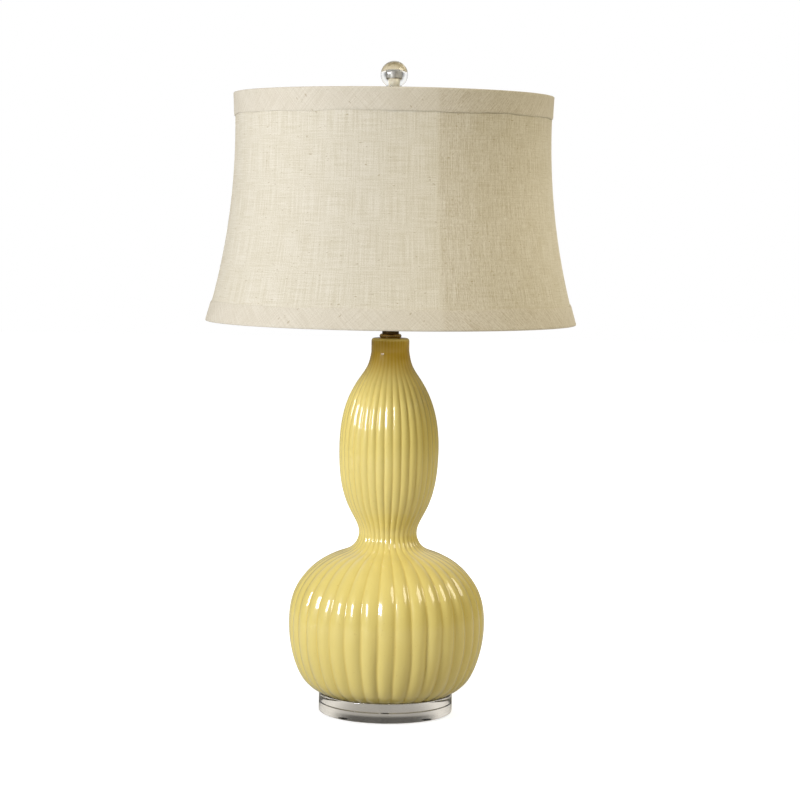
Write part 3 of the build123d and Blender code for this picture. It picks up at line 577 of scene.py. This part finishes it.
def cloth_band(name, profile, angle, lift, edge_wave=0.0):
    """Cloth swept round the lamp from a closed profile of (inset, height, run), in from the bell's face.

    Lift is how far each column stands off, and edge_wave how far its first edge strays up or down.
    The cloth's own weft and warp are kept as a map in metres."""
    profile = np.array(profile)
    edge_reach = 0.012
    level = profile[:, 1][:, None] + edge_wave * np.clip(1 - profile[:, 2][:, None] / edge_reach, 0, 1)
    radius = bell(level) - profile[:, :1] + lift
    level = np.broadcast_to(level, radius.shape)
    piece = grid_piece(name, np.stack([radius * np.cos(angle), radius * np.sin(angle), level], -1))
    piece.data.set_sharp_from_angle(angle=radians(50))
    columns = radius.shape[1]
    corner = np.empty(len(piece.data.loops), np.int64)
    piece.data.loops.foreach_get("vertex_index", corner)
    row, column = corner // columns, corner % columns
    face_column = np.arange(len(corner)) // 4 % columns
    wrapped = (face_column == columns - 1) & (column == 0)
    weft = (angle[column] - angle[0] + np.where(wrapped, tau, 0)) * (throat_radius + mouth_radius) / 2
    weave = piece.data.uv_layers.new(name="cloth")
    weave.data.foreach_set("uv", np.stack([weft, profile[row, 2]], -1).astype(np.float32).ravel())
    return piece


def ripples(angle, *waves):
    """Sum of sine waves round the lamp: each is its size, its count in a turn and its phase."""
    return sum(size * np.sin(angle * count + phase) for size, count, phase in waves)


seam_angle = radians(-75)
seam_width = 0.02  # as an angle
seam_columns = 12
columns = 720
past_seam = np.linspace(seam_width, tau, columns + 1)[1:-1]
seam_side = np.concatenate([np.linspace(0, seam_width, seam_columns), past_seam])
angle = seam_angle + seam_side
lap = 0.00012 * np.clip(1 - seam_side / seam_width, 0, 1)
sway = ripples(angle, (0.00012, 9, 0), (0.0001, 23, 1.3))
cover_face = 0.0001
cover_back = 0.001
levels = np.linspace(shade_low.z, shade_high.z, 90)
outside = [(cover_face, level, level) for level in levels]
inside = [(cover_back, level, level) for level in levels[::-1]]
cover = cloth_band("linen_cover", outside + inside, angle, lap + sway)


def linen_finish(name, turned_by, seam_shade_share, light, dark, deep):
    """Slubby linen: yarns both ways, thick and thin, with darker flax in some of them and a few knots, and
    painted shade just right of the seam.
    """
    linen = Finish(name, specular_ior_level=0.15, sheen_weight=0.12, sheen_roughness=0.5)
    laid = {"Vector": linen.cloth(1, 1), "Angle": turned_by}
    flat = linen.node("VectorRotate", {"rotation_type": "Z_AXIS"}, laid)

    def yarns(across, down, detail=2.0):
        stretched = linen.node("VectorMath", {"operation": "MULTIPLY"}, {0: flat, 1: (across, down, 1)})
        return linen.noise(stretched, 1.0, detail)

    weft_slub = yarns(30, 800)
    warp_slub = yarns(800, 22)
    weft_fine = yarns(160, 2200, 1.0)
    warp_fine = yarns(2200, 160, 1.0)
    mottle = yarns(38, 50, 3.0)
    grain = yarns(1000, 800)
    tone = weft_slub * 0.25 + warp_slub * 0.3 + mottle * 0.08 + grain * 0.37
    colour = linen.mix(linen.ramp(tone, 0.35, 0.65), dark, light)
    streak = linen.ramp(yarns(900, 45) * 0.5 + yarns(1000, 260) * 0.5, 0.42, 0.66)
    knot = linen.ramp(yarns(180, 480, 1.0), 0.69, 0.77)
    girth = linen.node("SeparateXYZ", {}, {0: linen.cloth(1, 1)}, "X")
    # Painted shade: the cloth just right of the seam darkens, its streaks with it, and this fades out away
    # from the seam.
    shade_past_seam = linen.ramp(girth, 0.0, 0.007) * linen.ramp(girth, 0.3, 0.09)
    colour = linen.mix(streak * (shade_past_seam * 0.34 + 0.06), colour, deep)
    colour = linen.mix(knot * 0.55, colour, deep)
    colour = linen.mix(shade_past_seam * seam_shade_share, colour, deep)
    linen.set(linen.shader, {"Base Color": colour})
    linen.wear(weft_fine, 0.78, 0.95)
    slub = linen.ramp(weft_slub, 0.5, 0.8) + linen.ramp(warp_slub, 0.5, 0.8) + knot
    linen.bump(slub * 0.4 + weft_fine * 0.3 + warp_fine * 0.3 + grain * 0.3, 0.00013)
    return linen


natural = shade_of(223, 217, 202), shade_of(199, 190, 165), shade_of(150, 128, 80)
linen_finish("linen", 0.0, 0.07, *natural).on(cover, "shade_cover")
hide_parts("shade_cover")
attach(cover, "shade")
cover_area = 0.0
for low, high in zip(levels, levels[1:]):
    cover_area += tau * bell((low + high) / 2) * sqrt((high - low) ** 2 + (bell(high) - bell(low)) ** 2)

# Lining: a smooth pale cotton behind the frame, cut like the cover and a little smaller. It is glued to
# the rings under the trims and hides the struts.

lining_low, lining_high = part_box("shade_lining")
lining_face = 0.0044
lining_back = 0.0050
levels = np.linspace(lining_low.z, lining_high.z, 60)
outside = [(lining_face, level, level) for level in levels]
inside = [(lining_back, level, level) for level in levels[::-1]]
lining_piece = cloth_band("shade_lining_cloth", outside + inside, angle, sway * 0.5)
lining = Finish("lining", specular_ior_level=0.2)
plain = lining.noise(lining.cloth(1500, 1500), 1.0)
lining.wear(plain, 0.75, 0.9, (shade_of(230, 219, 192), shade_of(238, 229, 206)))
lining.bump(plain, 0.0001)
lining.on(lining_piece, "shade_lining")
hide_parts("shade_lining")
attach(lining_piece, "shade")
lining_share = 0.977  # of the cover's area, since it lies inside the cover
lining_area = cover_area * lining_share

# Trims: strips of the same linen cut on the bias, so the yarns run aslant. Each is folded over an edge of
# the shade, turned in and glued down inside, and its free edge is not quite straight.

trim_thickness = 0.0009
trim_gap = 0.0002
trim_inside = 0.0061
trim_return = 0.009
fold_run = 0.007  # of the strip, over the edge
fold_round = 0.0003
fold_start = 0.0011  # in from the strip's face, where the flat of the fold starts
fold_stop = 0.0009  # out from its back, where the flat ends
cut_round = 0.0004
crease = 0.0002
bend_run = 0.001
bias = radians(45)


def folded(edge, face_end, back_end):
    """Closed profile of a strip folded over an edge of the shade, each point with its run along the strip."""
    way = 1 if face_end > edge else -1
    face = np.linspace(face_end, edge + way * bend_run, 14)
    back = np.linspace(edge + way * bend_run, back_end, 8)
    outer_in, inner_in = -trim_gap - trim_thickness, -trim_gap
    back_in = trim_inside - trim_thickness
    run = abs(edge - face_end)
    loop = [(outer_in + cut_round, face_end, 0)]
    loop += [(outer_in, level, abs(level - face_end)) for level in face[1:]]
    loop += [(outer_in + cut_round, edge + way * fold_round, run)]
    loop += [(outer_in + fold_start, edge, run + bend_run)]
    loop += [(trim_inside - fold_stop, edge, run + fold_run - bend_run)]
    loop += [(trim_inside - fold_round, edge + way * fold_round, run + fold_run)]
    loop += [(trim_inside, level, run + fold_run + abs(level - edge)) for level in back]
    loop += [(back_in, level, run + fold_run) for level in back[::-1]]
    loop += [(back_in - crease, edge + way * trim_thickness, run)]
    loop += [(inner_in, edge + way * (trim_thickness + crease), run)]
    loop += [(inner_in, level, abs(level - face_end)) for level in face[::-1][1:]]
    return loop


trim_sway = ripples(angle, (0.00012, 31, 0), (0.0001, 57, 0.7)) + lap * 0.8
edge_wave = ripples(angle, (0.0005, 7, 1.1), (0.0004, 13, 0.4), (0.0002, 37, 0))
trim_tones = shade_of(218, 211, 195), shade_of(200, 191, 171), shade_of(154, 134, 94)
trim_linen = linen_finish("trim_linen", bias, 0.02, *trim_tones)
for node, edge_end, face_side, fold in [("top_trim", 1, 0, -trim_return), ("bottom_trim", 0, 1, trim_return)]:
    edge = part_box(node)[edge_end].z
    face_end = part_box(node)[face_side].z
    back_end = edge + fold
    profile = folded(edge, face_end, back_end)
    strip = cloth_band("linen_" + node, profile, angle, np.minimum(trim_sway, 0.0), edge_wave)
    trim_linen.on(strip, node)
    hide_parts(node)
    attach(strip, "shade")
    strip_flat = (tau * bell(edge), abs(edge - face_end) + fold_run + abs(edge - back_end))

# Shade frame: two rings and twelve struts of steel wire, welded together and painted off-white. The spider
# is toned like the harp: its three arms are brazed to the top ring and to the hub, which sits on the stud.

frame_wire = Finish("frame_wire", specular_ior_level=0.5)
paint = frame_wire.noise(frame_wire.place(), 600.0, 3.0)
frame_wire.wear(paint, 0.35, 0.55, (shade_of(222, 219, 210), shade_of(234, 232, 225)))
frame_wire.bump(paint, 0.00005)
frame_wire.on("top_ring", "bottom_ring", "shade_struts")
antique_brass.on("spider_hub", "spider_arms")

# Stage: a pale paper floor that keeps the lamp's shadow, and a white surround. A soft box stands at the
# front left and another high on the right. A narrow light grazes the right of the shade, and a wide one
# behind lights the back of the lamp.

floor_half = 8
floor_corners = [(-floor_half, -floor_half, 0), (floor_half, -floor_half, 0)]
floor_corners += [(floor_half, floor_half, 0), (-floor_half, floor_half, 0)]
floor_mesh = bpy.data.meshes.new("floor")
floor_mesh.from_pydata(floor_corners, [], [(0, 1, 2, 3)])
floor = bpy.data.objects.new("floor", floor_mesh)
bpy.context.scene.collection.objects.link(floor)
black = (0.0, 0.0, 0.0, 1.0)
white = (1.0, 1.0, 1.0, 1.0)
paper_floor = Finish("paper_floor", base_color=(0.5, 0.5, 0.5, 1.0), roughness=1.0, specular_ior_level=0.0)
away = paper_floor.node("VectorMath", {"operation": "LENGTH"}, {0: paper_floor.place()}, "Value")
straight = paper_floor.node("LightPath", {}, {}, "Is Camera Ray")
mirrored = paper_floor.node("LightPath", {}, {}, "Is Glossy Ray")
through = paper_floor.node("LightPath", {}, {}, "Is Transmission Ray")
glow = paper_floor.ramp(away, 0.2, 1.0, 0.8, 1.0) * (straight + mirrored * 0.1)
glow = glow + through * paper_floor.ramp(away, 0.4, 1.5, 0.0, 0.9)
lit_paper = paper_floor.mix(glow, black, white)
paper_floor.set(paper_floor.shader, {"Emission Color": lit_paper, "Emission Strength": 1.0})
paper_floor.on(floor)

surround = Finish("surround", bpy.data.worlds, strength=1.0)
bpy.context.scene.world = surround.material
direction = surround.node("TexCoord", {}, {}, "Generated")
back = surround.node("SeparateXYZ", {}, {0: direction}, "Y")
rise = surround.node("SeparateXYZ", {}, {0: direction}, "Z")
# Through the clear pieces the surround looks darker low behind the lamp, like a sweep in shade.
low_band = surround.ramp(rise, 0.6, 0.35) * 0.55 + surround.ramp(rise, 0.2, 0.15) * 0.34
shaded_sweep = surround.ramp(back, 0.7, 0.95) * low_band
through = surround.mix(surround.ramp(back, -0.6, 0.0, 0.6, 1.0) - shaded_sweep, black, white)
sheen = surround.ramp(back, 0.1, 0.9) * surround.ramp(rise, 0.1, 0.7, 0.12, 0.8) + 0.04
mirrored = surround.mix(sheen, black, white)
room_light = (0.28, 0.245, 0.145, 1.0)
seen = surround.mix(surround.node("LightPath", {}, {}, "Is Glossy Ray"), room_light, mirrored)
seen = surround.mix(surround.node("LightPath", {}, {}, "Is Transmission Ray"), seen, through)
seen = surround.mix(surround.node("LightPath", {}, {}, "Is Camera Ray"), seen, white)
surround.set(surround.shader, {"Color": seen})

for name, azimuth, distance, height, width, tall, spread, power, tint, aim in [
    ("key", -48, 2.3, 1.1, 0.85, 0.8, 180, 48, (0.96, 0.99, 1.1), 0.4),
    ("fill", 72, 2.0, 2.0, 1.2, 1.2, 180, 27, (1.0, 0.94, 0.8), 0.4),
    ("shade_light", 80, 1.7, 0.6, 0.6, 0.15, 16, 0.13, (1.0, 0.97, 0.93), 0.52),
    ("back", 168, 2.4, 1.5, 1.6, 1.2, 180, 20, (1.0, 0.97, 0.92), 0.4),
]:
    panel = bpy.data.lights.new(name, "AREA")
    panel.shape = "RECTANGLE"
    panel.size = width
    panel.size_y = tall
    panel.spread = radians(spread)
    panel.energy = power
    panel.color = tint
    soft_box = bpy.data.objects.new(name, panel)
    soft_box.location = (distance * sin(radians(azimuth)), -distance * cos(radians(azimuth)), height)
    soft_box.rotation_euler = (Vector((0, 0, aim)) - soft_box.location).to_track_quat("-Z", "Y").to_euler()
    soft_box.visible_glossy = name in ("key", "fill")
    soft_box.visible_transmission = name in ("key", "fill")
    bpy.context.scene.collection.objects.link(soft_box)

# Camera: a long lens in front of the lamp, level with the middle of the shade and tipped down. It is rolled
# a little, so the upright lamp leans in the picture.

camera_place = (0.0116, -2.573, 0.5563)
camera_dip = 4.535
camera_roll = 0.85
lens = bpy.data.cameras.new("camera")
lens.sensor_width = 36
lens.lens = 104
camera = bpy.data.objects.new("camera", lens)
tilt = Euler((radians(90 - camera_dip), 0, 0)).to_matrix().to_4x4()
roll = Matrix.Rotation(radians(camera_roll), 4, "Z")
camera.matrix_world = Matrix.Translation(camera_place) @ tilt @ roll
bpy.context.scene.collection.objects.link(camera)
bpy.context.scene.camera = camera
bpy.context.scene.view_settings.view_transform = "Standard"
